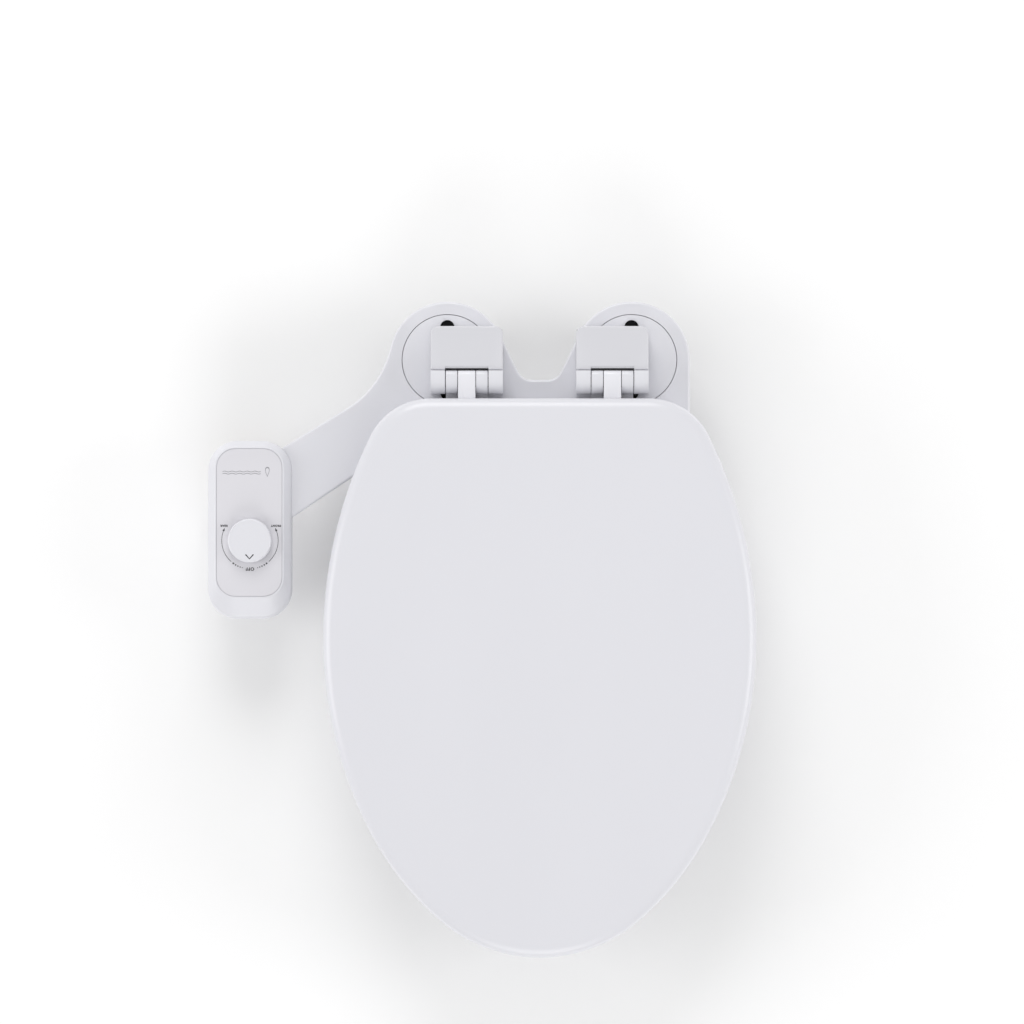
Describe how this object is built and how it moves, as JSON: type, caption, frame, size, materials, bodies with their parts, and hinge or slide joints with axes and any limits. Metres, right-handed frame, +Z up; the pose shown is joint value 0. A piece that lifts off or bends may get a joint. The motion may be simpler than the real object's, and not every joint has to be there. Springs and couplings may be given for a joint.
{
  "type": "bidet toilet seat",
  "caption": "Elongated toilet seat and lid with a slim water-pressure bidet plate, side control box with a rotary dial, and two retracting nozzles.",
  "frame": {"origin": "midpoint between the two mounting bolts, on the underside of the bidet plate, which lies on the ceramic deck", "axes": "+Z up, out of the deck; +Y back towards the tank; +X to the right of a person who stands in front and faces the tank"},
  "size_m": [0.4603, 0.5498, 0.113],
  "materials": {
    "white_plastic": "glossy moulded white",
    "white_satin": "satin moulded white",
    "face_plastic": "satin white inlay with printed dial marks",
    "nylon": "matte moulded",
    "rubber": "matte pale grey rubber",
    "dark_rubber": "matte black rubber",
    "hose": "translucent soft tube",
    "steel": "stainless",
    "brass": "machined",
    "ceramic": "polished ceramic"
  },
  "bodies": {
    "base": {"plate_top_cover": "white_plastic", "plate_bottom_cover": "white_satin", "plate_screws": "steel", "mounting_bolts": "steel", "cone_washers": "rubber", "wing_nuts": "nylon", "disc_gaskets": "dark_rubber", "left_hinge_base": "white_plastic", "right_hinge_base": "white_plastic", "left_hinge_pin": "steel", "right_hinge_pin": "steel", "hinge_cap_pins": "steel", "control_top_shell": "white_plastic", "control_bottom_shell": "white_plastic", "control_faceplate": "face_plastic", "control_screws": "steel", "valve_stator_disc": "ceramic", "valve_bonnet": "brass", "valve_body": "nylon", "inlet_connector": "brass", "check_valve": "nylon", "inlet_filter": "steel", "rear_wash_hose": "hose", "front_wash_hose": "hose", "nozzle_housing": "white_satin", "nozzle_manifold": "nylon", "rear_nozzle_spring": "steel", "front_nozzle_spring": "steel", "guard_pin": "steel"},
    "ring": {"seat_ring": "white_plastic", "ring_bumpers": "rubber"},
    "lid": {"seat_lid": "white_plastic", "left_lid_arm": "white_plastic", "right_lid_arm": "white_plastic", "lid_arm_screws": "steel", "lid_bumpers": "rubber"},
    "left_cap": {"left_hinge_cap": "white_plastic"},
    "right_cap": {"right_hinge_cap": "white_plastic"},
    "left_disc": {"left_mounting_disc": "white_plastic"},
    "right_disc": {"right_mounting_disc": "white_plastic"},
    "dial": {"control_knob": "white_plastic", "valve_stem": "brass", "valve_rotor_disc": "ceramic", "stem_o_rings": "rubber"},
    "rear_wash_nozzle": {"rear_nozzle": "white_plastic", "rear_nozzle_seal": "rubber"},
    "front_wash_nozzle": {"front_nozzle": "white_plastic", "front_nozzle_seal": "rubber"},
    "guard": {"nozzle_guard": "white_plastic"}
  },
  "joints": [
    {"name": "ring_hinge", "type": "hinge", "parent": "base", "child": "ring", "pos_m": [0, -0.029, 0.0253], "axis": [1, 0, 0], "range_deg": [-95, 0]},
    {"name": "lid_hinge", "type": "hinge", "parent": "ring", "child": "lid", "pos_m": [0, -0.029, 0.0253], "axis": [-1, 0, 0], "range_deg": [0, 97]},
    {"name": "left_cap_hinge", "type": "hinge", "parent": "base", "child": "left_cap", "pos_m": [-0.061, 0.0142, 0.013], "axis": [-1, 0, 0], "range_deg": [0, 85]},
    {"name": "right_cap_hinge", "type": "hinge", "parent": "base", "child": "right_cap", "pos_m": [0.061, 0.0142, 0.013], "axis": [-1, 0, 0], "range_deg": [0, 85]},
    {"name": "left_disc_turn", "type": "hinge", "parent": "base", "child": "left_disc", "pos_m": [-0.0775, -0.01, 0.005], "axis": [0, 0, 1], "range_deg": [-8, 8]},
    {"name": "right_disc_turn", "type": "hinge", "parent": "base", "child": "right_disc", "pos_m": [0.0775, -0.01, 0.005], "axis": [0, 0, 1], "range_deg": [-8, 8]},
    {"name": "dial_turn", "type": "hinge", "parent": "base", "child": "dial", "pos_m": [-0.2432, -0.162, 0.02], "axis": [0, 0, 1], "range_deg": [-110, 110]},
    {"name": "rear_nozzle_slide", "type": "slide", "parent": "base", "child": "rear_wash_nozzle", "axis": [0, -0.9063, -0.4226], "range_m": [0, 0.034], "stiffness_N_per_m": 40, "springref_m": -0.01, "deforming": ["rear_nozzle_spring"]},
    {"name": "front_nozzle_slide", "type": "slide", "parent": "base", "child": "front_wash_nozzle", "axis": [0, -0.9063, -0.4226], "range_m": [0, 0.034], "stiffness_N_per_m": 40, "springref_m": -0.01, "deforming": ["front_nozzle_spring"]},
    {"name": "guard_hinge", "type": "hinge", "parent": "base", "child": "guard", "pos_m": [0, -0.13065, -0.01882], "axis": [-1, 0, 0], "range_deg": [0, 90]}
  ]
}
